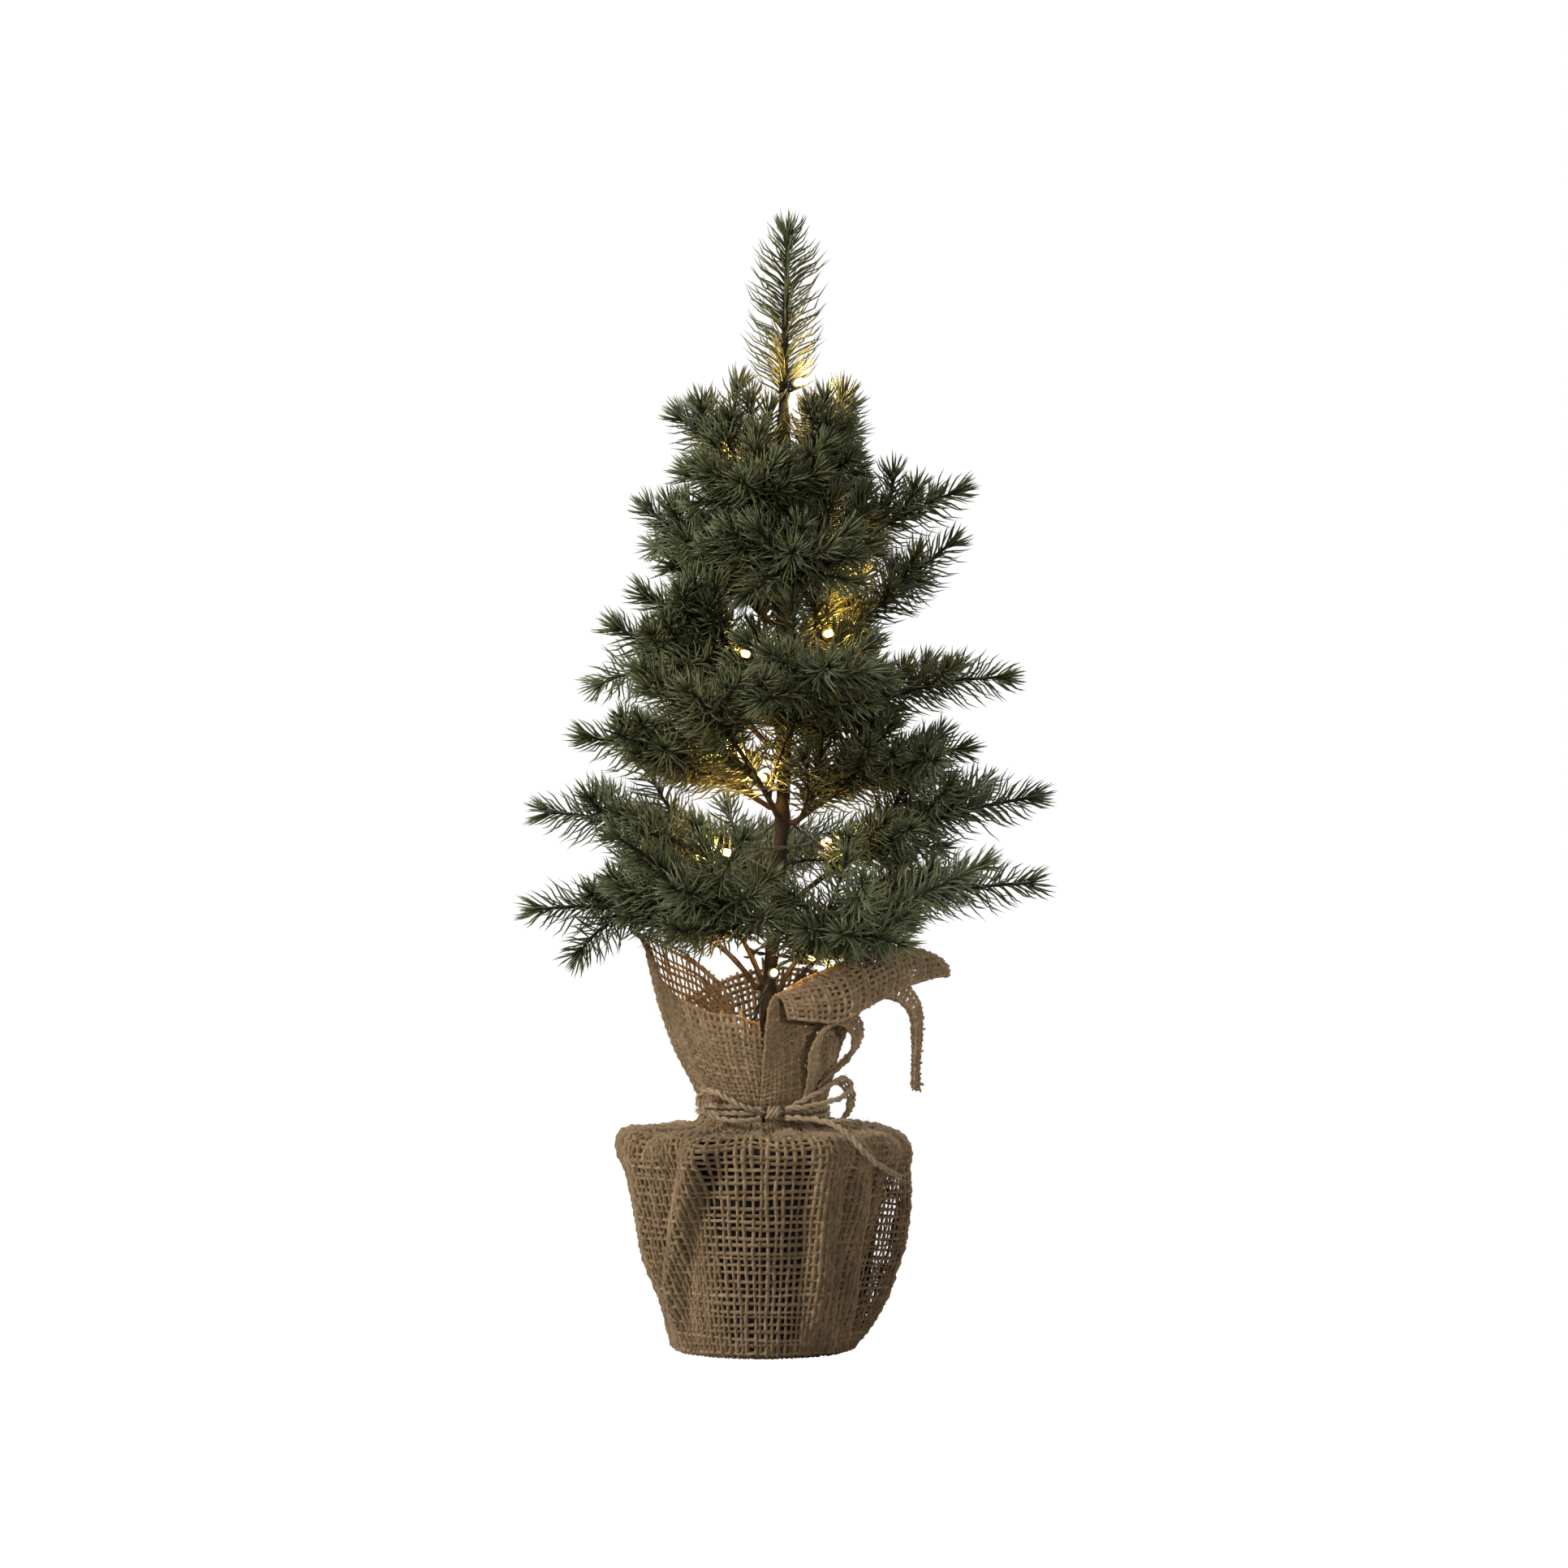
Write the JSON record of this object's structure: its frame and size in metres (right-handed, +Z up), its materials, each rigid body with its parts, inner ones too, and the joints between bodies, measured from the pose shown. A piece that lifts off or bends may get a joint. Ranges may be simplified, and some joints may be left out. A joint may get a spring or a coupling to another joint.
{
  "type": "artificial tabletop tree",
  "caption": "Pre-lit artificial tabletop fir with bendable branches and a warm light string, in a weighted pot wrapped in burlap tied with twine.",
  "frame": {"origin": "on the ground under the middle of the foliage, at the centre of the bounding box's base", "axes": "+Z up the trunk, -Y to the front, +X to the right"},
  "size_m": [0.2115, 0.1977, 0.45],
  "materials": {
    "black_plastic": "black moulded plastic, fine grain",
    "cement": "cast cement with grit",
    "cell_sleeve": "plain printed sleeve on a steel can",
    "zinc_steel": "zinc plated spring steel",
    "steel_wire": "drawn steel wire",
    "circuit_board": "green solder mask",
    "switch_knob": "white moulded plastic",
    "trunk_tape": "dark brown crepe tape wound on wire",
    "needles": "moulded dark green polyethylene needles",
    "burlap": "open-weave natural jute burlap, 3 mm pitch",
    "jute_twine": "twisted natural jute twine with loose fibres",
    "cable": "dark green sleeved cable",
    "bulb": "lit warm-white bulb"
  },
  "bodies": {
    "root": {"ballast_plug": "cement", "battery_1": "cell_sleeve", "battery_2": "cell_sleeve", "battery_3": "cell_sleeve", "burlap_wrap": "burlap", "circuit_board": "circuit_board", "contact_strip_left": "zinc_steel", "contact_strip_right": "zinc_steel", "led_bulb_01": "bulb", "led_bulb_02": "bulb", "led_bulb_03": "bulb", "led_bulb_04": "bulb", "led_bulb_05": "bulb", "led_bulb_06": "bulb", "led_bulb_07": "bulb", "led_bulb_08": "bulb", "led_bulb_09": "bulb", "led_bulb_10": "bulb", "led_bulb_11": "bulb", "led_bulb_12": "bulb", "light_wire": "cable", "pot_shell": "black_plastic", "switch_body": "black_plastic", "trunk_core": "steel_wire", "trunk_wrap": "trunk_tape", "twine_knot": "jute_twine", "twine_loop_left": "jute_twine", "twine_loop_right": "jute_twine", "twine_tail_long": "jute_twine", "twine_tail_short": "jute_twine", "twine_wrap": "jute_twine"},
    "door": {"battery_door": "black_plastic"},
    "switch_slider": {"switch_knob": "switch_knob"},
    "leader": {"leader_sprig": "needles"},
    "branch_01_top_left": {"branch_01_top_left": "needles"},
    "branch_02_top_right": {"branch_02_top_right": "needles"},
    "branch_03_top_front": {"branch_03_top_front": "needles"},
    "branch_04_top_back": {"branch_04_top_back": "needles"},
    "branch_05_upper_left": {"branch_05_upper_left": "needles"},
    "branch_06_upper_right": {"branch_06_upper_right": "needles"},
    "branch_07_low_upper_left": {"branch_07_low_upper_left": "needles"},
    "branch_08_right_rising": {"branch_08_right_rising": "needles"},
    "branch_09_upper_front": {"branch_09_upper_front": "needles"},
    "branch_10_upper_back": {"branch_10_upper_back": "needles"},
    "branch_11_mid_left": {"branch_11_mid_left": "needles"},
    "branch_12_mid_left_low": {"branch_12_mid_left_low": "needles"},
    "branch_13_mid_right": {"branch_13_mid_right": "needles"},
    "branch_14_mid_right_low": {"branch_14_mid_right_low": "needles"},
    "branch_15_mid_front": {"branch_15_mid_front": "needles"},
    "branch_16_mid_front_left": {"branch_16_mid_front_left": "needles"},
    "branch_17_mid_back": {"branch_17_mid_back": "needles"},
    "branch_18_low_left": {"branch_18_low_left": "needles"},
    "branch_19_left_drooping": {"branch_19_left_drooping": "needles"},
    "branch_20_low_right": {"branch_20_low_right": "needles"},
    "branch_21_right_level": {"branch_21_right_level": "needles"},
    "branch_22_right_front": {"branch_22_right_front": "needles"},
    "branch_23_left_front": {"branch_23_left_front": "needles"},
    "branch_24_low_back": {"branch_24_low_back": "needles"}
  },
  "joints": [
    {"name": "bend_01_top_left", "type": "hinge", "parent": "root", "child": "branch_01_top_left", "pos_m": [-0.00341, -0.00076, 0.327], "axis": [-0.2445, 0.9697, 0], "range_deg": [-14, 12]},
    {"name": "bend_02_top_right", "type": "hinge", "parent": "root", "child": "branch_02_top_right", "pos_m": [0.00252, -0.00103, 0.322], "axis": [-0.334, -0.9426, 0], "range_deg": [-14, 14]},
    {"name": "bend_03_top_front", "type": "hinge", "parent": "root", "child": "branch_03_top_front", "pos_m": [-0.00124, -0.00298, 0.314], "axis": [-0.9625, 0.2713, 0], "range_deg": [-14, 20]},
    {"name": "bend_04_top_back", "type": "hinge", "parent": "root", "child": "branch_04_top_back", "pos_m": [0.00021, 0.00304, 0.316], "axis": [0.9806, -0.1961, 0], "range_deg": [-14, 18]},
    {"name": "bend_05_upper_left", "type": "hinge", "parent": "root", "child": "branch_05_upper_left", "pos_m": [-0.00347, -0.00046, 0.287], "axis": [-0.1493, 0.9888, 0], "range_deg": [-14, 18]},
    {"name": "bend_06_upper_right", "type": "hinge", "parent": "root", "child": "branch_06_upper_right", "pos_m": [0.00266, -0.00048, 0.299], "axis": [-0.1552, -0.9879, 0], "range_deg": [-14, 18]},
    {"name": "bend_07_low_upper_left", "type": "hinge", "parent": "root", "child": "branch_07_low_upper_left", "pos_m": [-0.0031, -0.00152, 0.254], "axis": [-0.4893, 0.8721, 0], "range_deg": [-14, 14]},
    {"name": "bend_08_right_rising", "type": "hinge", "parent": "root", "child": "branch_08_right_rising", "pos_m": [0.00266, 0.0005, 0.262], "axis": [0.1613, -0.9869, 0], "range_deg": [-14, 18]},
    {"name": "bend_09_upper_front", "type": "hinge", "parent": "root", "child": "branch_09_upper_front", "pos_m": [-0.00022, -0.0031, 0.29], "axis": [-0.9983, -0.0578, 0], "range_deg": [-14, 16]},
    {"name": "bend_10_upper_back", "type": "hinge", "parent": "root", "child": "branch_10_upper_back", "pos_m": [-0.00079, 0.00308, 0.283], "axis": [0.9921, 0.1253, 0], "range_deg": [-14, 18]},
    {"name": "bend_11_mid_left", "type": "hinge", "parent": "root", "child": "branch_11_mid_left", "pos_m": [-0.00348, -0.00038, 0.238], "axis": [-0.123, 0.9924, 0], "range_deg": [-14, 18]},
    {"name": "bend_12_mid_left_low", "type": "hinge", "parent": "root", "child": "branch_12_mid_left_low", "pos_m": [-0.00368, -0.00091, 0.214], "axis": [-0.2948, 0.9556, 0], "range_deg": [-14, 14]},
    {"name": "bend_13_mid_right", "type": "hinge", "parent": "root", "child": "branch_13_mid_right", "pos_m": [0.00269, -0.00019, 0.232], "axis": [-0.0628, -0.998, 0], "range_deg": [-14, 18]},
    {"name": "bend_14_mid_right_low", "type": "hinge", "parent": "root", "child": "branch_14_mid_right_low", "pos_m": [0.00191, -0.00111, 0.208], "axis": [-0.359, -0.9333, 0], "range_deg": [-14, 20]},
    {"name": "bend_15_mid_front", "type": "hinge", "parent": "root", "child": "branch_15_mid_front", "pos_m": [0.00023, -0.00303, 0.236], "axis": [-0.9788, -0.2047, 0], "range_deg": [-14, 18]},
    {"name": "bend_16_mid_front_left", "type": "hinge", "parent": "root", "child": "branch_16_mid_front_left", "pos_m": [-0.00218, -0.0028, 0.211], "axis": [-0.9024, 0.4309, 0], "range_deg": [-14, 6]},
    {"name": "bend_17_mid_back", "type": "hinge", "parent": "root", "child": "branch_17_mid_back", "pos_m": [-0.00114, 0.00301, 0.24], "axis": [0.9712, 0.2384, 0], "range_deg": [-14, 20]},
    {"name": "bend_18_low_left", "type": "hinge", "parent": "root", "child": "branch_18_low_left", "pos_m": [-0.00587, 0, 0.182], "axis": [0, 1, 0], "range_deg": [-10, 14]},
    {"name": "bend_19_left_drooping", "type": "hinge", "parent": "root", "child": "branch_19_left_drooping", "pos_m": [-0.00924, -0.00073, 0.143], "axis": [-0.2361, 0.9717, 0], "range_deg": [-4, 20]},
    {"name": "bend_20_low_right", "type": "hinge", "parent": "root", "child": "branch_20_low_right", "pos_m": [-0.0002, -0.00028, 0.176], "axis": [-0.0911, -0.9958, 0], "range_deg": [-14, 12]},
    {"name": "bend_21_right_level", "type": "hinge", "parent": "root", "child": "branch_21_right_level", "pos_m": [-0.00369, 0.00011, 0.136], "axis": [0.0354, -0.9994, 0], "range_deg": [-4, 10]},
    {"name": "bend_22_right_front", "type": "hinge", "parent": "root", "child": "branch_22_right_front", "pos_m": [-0.00461, -0.00241, 0.139], "axis": [-0.7779, -0.6284, 0], "range_deg": [-5, 8]},
    {"name": "bend_23_left_front", "type": "hinge", "parent": "root", "child": "branch_23_left_front", "pos_m": [-0.00753, -0.00278, 0.144], "axis": [-0.8951, 0.4459, 0], "range_deg": [-14, 8]},
    {"name": "bend_24_low_back", "type": "hinge", "parent": "root", "child": "branch_24_low_back", "pos_m": [-0.00533, 0.00294, 0.164], "axis": [0.9498, 0.313, 0], "range_deg": [-14, 20]},
    {"name": "bend_leader", "type": "hinge", "parent": "root", "child": "leader", "pos_m": [-0.0004, 0, 0.3704], "axis": [0, 1, 0], "range_deg": [-14, 14]},
    {"name": "door_hinge", "type": "hinge", "parent": "root", "child": "door", "pos_m": [0.0164, 0, 0.0018], "axis": [0, -1, 0], "range_deg": [0, 100]},
    {"name": "switch_slide", "type": "slide", "parent": "root", "child": "switch_slider", "axis": [1, 0, 0], "range_m": [-0.002, 0.002]}
  ]
}
